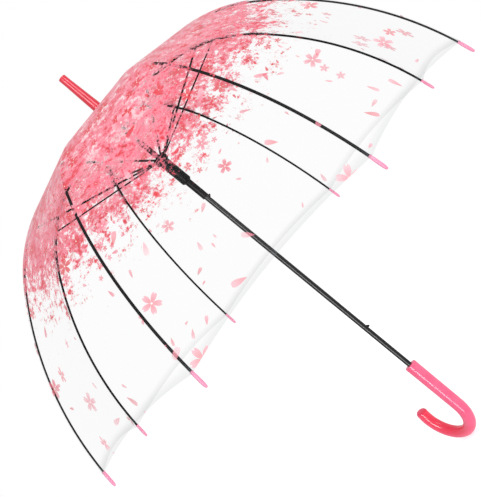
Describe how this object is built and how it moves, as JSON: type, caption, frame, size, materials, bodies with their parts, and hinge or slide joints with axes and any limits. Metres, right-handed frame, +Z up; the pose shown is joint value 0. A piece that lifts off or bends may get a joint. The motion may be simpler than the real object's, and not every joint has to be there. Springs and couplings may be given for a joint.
{
  "type": "umbrella",
  "caption": "Clear dome umbrella, open: printed film on curved ribs with capped tips, a sliding runner on a thin shaft and a hook handle.",
  "frame": {"origin": "under the shaft's axis, level with the lowest point of the hook", "axes": "+Z up the shaft to the ferrule; +X from the shaft towards the open end of the hook"},
  "size_m": [0.7796, 0.7796, 0.8],
  "materials": {
    "pink_grip": "glossy moulded plastic",
    "red_plastic": "glossy moulded plastic",
    "pink_cap": "glossy moulded plastic",
    "black_plastic": "satin moulded plastic",
    "black_steel": "gloss black enamel",
    "bright_steel": "bright drawn wire and spring strip",
    "clear_film": "clear welded film with a pink blossom print"
  },
  "bodies": {
    "frame": {"handle": "pink_grip", "shaft": "black_steel", "ferrule": "red_plastic", "film_washer": "red_plastic", "top_notch": "black_plastic", "notch_wire": "bright_steel", "notch_pin": "bright_steel", "canopy": "clear_film"},
    "runner": {"runner": "black_plastic"},
    "top_catch": {"top_catch": "bright_steel"},
    "bottom_catch": {"bottom_catch": "bright_steel"},
    "rib_inner_1": {"rib_inner_1": "black_steel"},
    "rib_middle_1": {"rib_middle_1": "black_steel"},
    "rib_outer_1": {"rib_outer_1": "black_steel", "tip_cap_1": "pink_cap"},
    "stretcher_1": {"stretcher_1": "black_steel"},
    "rib_inner_2": {"rib_inner_2": "black_steel"},
    "rib_middle_2": {"rib_middle_2": "black_steel"},
    "rib_outer_2": {"rib_outer_2": "black_steel", "tip_cap_2": "pink_cap"},
    "stretcher_2": {"stretcher_2": "black_steel"},
    "rib_inner_3": {"rib_inner_3": "black_steel"},
    "rib_middle_3": {"rib_middle_3": "black_steel"},
    "rib_outer_3": {"rib_outer_3": "black_steel", "tip_cap_3": "pink_cap"},
    "stretcher_3": {"stretcher_3": "black_steel"},
    "rib_inner_4": {"rib_inner_4": "black_steel"},
    "rib_middle_4": {"rib_middle_4": "black_steel"},
    "rib_outer_4": {"rib_outer_4": "black_steel", "tip_cap_4": "pink_cap"},
    "stretcher_4": {"stretcher_4": "black_steel"},
    "rib_inner_5": {"rib_inner_5": "black_steel"},
    "rib_middle_5": {"rib_middle_5": "black_steel"},
    "rib_outer_5": {"rib_outer_5": "black_steel", "tip_cap_5": "pink_cap"},
    "stretcher_5": {"stretcher_5": "black_steel"},
    "rib_inner_6": {"rib_inner_6": "black_steel"},
    "rib_middle_6": {"rib_middle_6": "black_steel"},
    "rib_outer_6": {"rib_outer_6": "black_steel", "tip_cap_6": "pink_cap"},
    "stretcher_6": {"stretcher_6": "black_steel"},
    "rib_inner_7": {"rib_inner_7": "black_steel"},
    "rib_middle_7": {"rib_middle_7": "black_steel"},
    "rib_outer_7": {"rib_outer_7": "black_steel", "tip_cap_7": "pink_cap"},
    "stretcher_7": {"stretcher_7": "black_steel"},
    "rib_inner_8": {"rib_inner_8": "black_steel"},
    "rib_middle_8": {"rib_middle_8": "black_steel"},
    "rib_outer_8": {"rib_outer_8": "black_steel", "tip_cap_8": "pink_cap"},
    "stretcher_8": {"stretcher_8": "black_steel"}
  },
  "joints": [
    {"name": "runner_slide", "type": "slide", "parent": "frame", "child": "runner", "axis": [0, 0, -1], "range_m": [0, 0.3046], "deforming": ["canopy", "top_catch", "bottom_catch"]},
    {"name": "rib_hinge_1", "type": "hinge", "parent": "frame", "child": "rib_inner_1", "pos_m": [0.00709, 0.00487, 0.7154], "axis": [-0.5664, 0.8241, 0], "range_deg": [0, 73.59]},
    {"name": "rib_bend_a_1", "type": "hinge", "parent": "rib_inner_1", "child": "rib_middle_1", "pos_m": [0.1704, 0.11711, 0.67707], "axis": [-0.5664, 0.8241, 0], "range_deg": [-28.69, 0]},
    {"name": "rib_bend_b_1", "type": "hinge", "parent": "rib_middle_1", "child": "rib_outer_1", "pos_m": [0.25719, 0.17677, 0.57667], "axis": [-0.5664, 0.8241, 0], "range_deg": [-19.63, 0]},
    {"name": "stretcher_hinge_1", "type": "hinge", "parent": "rib_inner_1", "child": "stretcher_1", "pos_m": [0.1704, 0.11711, 0.67707], "axis": [-0.5664, 0.8241, 0], "range_deg": [-140.39, 0]},
    {"name": "rib_hinge_2", "type": "hinge", "parent": "frame", "child": "rib_inner_2", "pos_m": [0.00157, 0.00846, 0.7154], "axis": [-0.9833, 0.1822, 0], "range_deg": [0, 73.59]},
    {"name": "rib_bend_a_2", "type": "hinge", "parent": "rib_inner_2", "child": "rib_middle_2", "pos_m": [0.03768, 0.2033, 0.67707], "axis": [-0.9833, 0.1822, 0], "range_deg": [-28.69, 0]},
    {"name": "rib_bend_b_2", "type": "hinge", "parent": "rib_middle_2", "child": "rib_outer_2", "pos_m": [0.05687, 0.30686, 0.57667], "axis": [-0.9833, 0.1822, 0], "range_deg": [-19.63, 0]},
    {"name": "stretcher_hinge_2", "type": "hinge", "parent": "rib_inner_2", "child": "stretcher_2", "pos_m": [0.03768, 0.2033, 0.67707], "axis": [-0.9833, 0.1822, 0], "range_deg": [-140.39, 0]},
    {"name": "rib_hinge_3", "type": "hinge", "parent": "frame", "child": "rib_inner_3", "pos_m": [-0.00487, 0.00709, 0.7154], "axis": [-0.8241, -0.5664, 0], "range_deg": [0, 73.59]},
    {"name": "rib_bend_a_3", "type": "hinge", "parent": "rib_inner_3", "child": "rib_middle_3", "pos_m": [-0.11711, 0.1704, 0.67707], "axis": [-0.8241, -0.5664, 0], "range_deg": [-28.69, 0]},
    {"name": "rib_bend_b_3", "type": "hinge", "parent": "rib_middle_3", "child": "rib_outer_3", "pos_m": [-0.17677, 0.25719, 0.57667], "axis": [-0.8241, -0.5664, 0], "range_deg": [-19.63, 0]},
    {"name": "stretcher_hinge_3", "type": "hinge", "parent": "rib_inner_3", "child": "stretcher_3", "pos_m": [-0.11711, 0.1704, 0.67707], "axis": [-0.8241, -0.5664, 0], "range_deg": [-140.39, 0]},
    {"name": "rib_hinge_4", "type": "hinge", "parent": "frame", "child": "rib_inner_4", "pos_m": [-0.00846, 0.00157, 0.7154], "axis": [-0.1822, -0.9833, 0], "range_deg": [0, 73.59]},
    {"name": "rib_bend_a_4", "type": "hinge", "parent": "rib_inner_4", "child": "rib_middle_4", "pos_m": [-0.2033, 0.03768, 0.67707], "axis": [-0.1822, -0.9833, 0], "range_deg": [-28.69, 0]},
    {"name": "rib_bend_b_4", "type": "hinge", "parent": "rib_middle_4", "child": "rib_outer_4", "pos_m": [-0.30686, 0.05687, 0.57667], "axis": [-0.1822, -0.9833, 0], "range_deg": [-19.63, 0]},
    {"name": "stretcher_hinge_4", "type": "hinge", "parent": "rib_inner_4", "child": "stretcher_4", "pos_m": [-0.2033, 0.03768, 0.67707], "axis": [-0.1822, -0.9833, 0], "range_deg": [-140.39, 0]},
    {"name": "rib_hinge_5", "type": "hinge", "parent": "frame", "child": "rib_inner_5", "pos_m": [-0.00709, -0.00487, 0.7154], "axis": [0.5664, -0.8241, 0], "range_deg": [0, 73.59]},
    {"name": "rib_bend_a_5", "type": "hinge", "parent": "rib_inner_5", "child": "rib_middle_5", "pos_m": [-0.1704, -0.11711, 0.67707], "axis": [0.5664, -0.8241, 0], "range_deg": [-28.69, 0]},
    {"name": "rib_bend_b_5", "type": "hinge", "parent": "rib_middle_5", "child": "rib_outer_5", "pos_m": [-0.25719, -0.17677, 0.57667], "axis": [0.5664, -0.8241, 0], "range_deg": [-19.63, 0]},
    {"name": "stretcher_hinge_5", "type": "hinge", "parent": "rib_inner_5", "child": "stretcher_5", "pos_m": [-0.1704, -0.11711, 0.67707], "axis": [0.5664, -0.8241, 0], "range_deg": [-140.39, 0]},
    {"name": "rib_hinge_6", "type": "hinge", "parent": "frame", "child": "rib_inner_6", "pos_m": [-0.00157, -0.00846, 0.7154], "axis": [0.9833, -0.1822, 0], "range_deg": [0, 73.59]},
    {"name": "rib_bend_a_6", "type": "hinge", "parent": "rib_inner_6", "child": "rib_middle_6", "pos_m": [-0.03768, -0.2033, 0.67707], "axis": [0.9833, -0.1822, 0], "range_deg": [-28.69, 0]},
    {"name": "rib_bend_b_6", "type": "hinge", "parent": "rib_middle_6", "child": "rib_outer_6", "pos_m": [-0.05687, -0.30686, 0.57667], "axis": [0.9833, -0.1822, 0], "range_deg": [-19.63, 0]},
    {"name": "stretcher_hinge_6", "type": "hinge", "parent": "rib_inner_6", "child": "stretcher_6", "pos_m": [-0.03768, -0.2033, 0.67707], "axis": [0.9833, -0.1822, 0], "range_deg": [-140.39, 0]},
    {"name": "rib_hinge_7", "type": "hinge", "parent": "frame", "child": "rib_inner_7", "pos_m": [0.00487, -0.00709, 0.7154], "axis": [0.8241, 0.5664, 0], "range_deg": [0, 73.59]},
    {"name": "rib_bend_a_7", "type": "hinge", "parent": "rib_inner_7", "child": "rib_middle_7", "pos_m": [0.11711, -0.1704, 0.67707], "axis": [0.8241, 0.5664, 0], "range_deg": [-28.69, 0]},
    {"name": "rib_bend_b_7", "type": "hinge", "parent": "rib_middle_7", "child": "rib_outer_7", "pos_m": [0.17677, -0.25719, 0.57667], "axis": [0.8241, 0.5664, 0], "range_deg": [-19.63, 0]},
    {"name": "stretcher_hinge_7", "type": "hinge", "parent": "rib_inner_7", "child": "stretcher_7", "pos_m": [0.11711, -0.1704, 0.67707], "axis": [0.8241, 0.5664, 0], "range_deg": [-140.39, 0]},
    {"name": "rib_hinge_8", "type": "hinge", "parent": "frame", "child": "rib_inner_8", "pos_m": [0.00846, -0.00157, 0.7154], "axis": [0.1822, 0.9833, 0], "range_deg": [0, 73.59]},
    {"name": "rib_bend_a_8", "type": "hinge", "parent": "rib_inner_8", "child": "rib_middle_8", "pos_m": [0.2033, -0.03768, 0.67707], "axis": [0.1822, 0.9833, 0], "range_deg": [-28.69, 0]},
    {"name": "rib_bend_b_8", "type": "hinge", "parent": "rib_middle_8", "child": "rib_outer_8", "pos_m": [0.30686, -0.05687, 0.57667], "axis": [0.1822, 0.9833, 0], "range_deg": [-19.63, 0]},
    {"name": "stretcher_hinge_8", "type": "hinge", "parent": "rib_inner_8", "child": "stretcher_8", "pos_m": [0.2033, -0.03768, 0.67707], "axis": [0.1822, 0.9833, 0], "range_deg": [-140.39, 0]},
    {"name": "top_catch_press", "type": "hinge", "parent": "frame", "child": "top_catch", "pos_m": [-0.00139, -0.00231, 0.5011], "axis": [-0.8572, 0.515, 0], "range_deg": [0, 8], "stiffness_Nm_per_rad": 0.02, "springref_deg": -11.46},
    {"name": "bottom_catch_press", "type": "hinge", "parent": "frame", "child": "bottom_catch", "pos_m": [-0.00139, -0.00231, 0.2464], "axis": [0.8572, -0.515, 0], "range_deg": [0, 8], "stiffness_Nm_per_rad": 0.02, "springref_deg": -11.46}
  ],
  "couplings": [
    {"joint": "rib_hinge_1", "follows": "runner_slide", "rad_per_m": 4.2144},
    {"joint": "rib_bend_a_1", "follows": "runner_slide", "rad_per_m": -1.6433},
    {"joint": "rib_bend_b_1", "follows": "runner_slide", "rad_per_m": -1.1242},
    {"joint": "stretcher_hinge_1", "follows": "runner_slide", "rad_per_m": -8.0402},
    {"joint": "rib_hinge_2", "follows": "runner_slide", "rad_per_m": 4.2144},
    {"joint": "rib_bend_a_2", "follows": "runner_slide", "rad_per_m": -1.6433},
    {"joint": "rib_bend_b_2", "follows": "runner_slide", "rad_per_m": -1.1242},
    {"joint": "stretcher_hinge_2", "follows": "runner_slide", "rad_per_m": -8.0402},
    {"joint": "rib_hinge_3", "follows": "runner_slide", "rad_per_m": 4.2144},
    {"joint": "rib_bend_a_3", "follows": "runner_slide", "rad_per_m": -1.6433},
    {"joint": "rib_bend_b_3", "follows": "runner_slide", "rad_per_m": -1.1242},
    {"joint": "stretcher_hinge_3", "follows": "runner_slide", "rad_per_m": -8.0402},
    {"joint": "rib_hinge_4", "follows": "runner_slide", "rad_per_m": 4.2144},
    {"joint": "rib_bend_a_4", "follows": "runner_slide", "rad_per_m": -1.6433},
    {"joint": "rib_bend_b_4", "follows": "runner_slide", "rad_per_m": -1.1242},
    {"joint": "stretcher_hinge_4", "follows": "runner_slide", "rad_per_m": -8.0402},
    {"joint": "rib_hinge_5", "follows": "runner_slide", "rad_per_m": 4.2144},
    {"joint": "rib_bend_a_5", "follows": "runner_slide", "rad_per_m": -1.6433},
    {"joint": "rib_bend_b_5", "follows": "runner_slide", "rad_per_m": -1.1242},
    {"joint": "stretcher_hinge_5", "follows": "runner_slide", "rad_per_m": -8.0402},
    {"joint": "rib_hinge_6", "follows": "runner_slide", "rad_per_m": 4.2144},
    {"joint": "rib_bend_a_6", "follows": "runner_slide", "rad_per_m": -1.6433},
    {"joint": "rib_bend_b_6", "follows": "runner_slide", "rad_per_m": -1.1242},
    {"joint": "stretcher_hinge_6", "follows": "runner_slide", "rad_per_m": -8.0402},
    {"joint": "rib_hinge_7", "follows": "runner_slide", "rad_per_m": 4.2144},
    {"joint": "rib_bend_a_7", "follows": "runner_slide", "rad_per_m": -1.6433},
    {"joint": "rib_bend_b_7", "follows": "runner_slide", "rad_per_m": -1.1242},
    {"joint": "stretcher_hinge_7", "follows": "runner_slide", "rad_per_m": -8.0402},
    {"joint": "rib_hinge_8", "follows": "runner_slide", "rad_per_m": 4.2144},
    {"joint": "rib_bend_a_8", "follows": "runner_slide", "rad_per_m": -1.6433},
    {"joint": "rib_bend_b_8", "follows": "runner_slide", "rad_per_m": -1.1242},
    {"joint": "stretcher_hinge_8", "follows": "runner_slide", "rad_per_m": -8.0402}
  ]
}
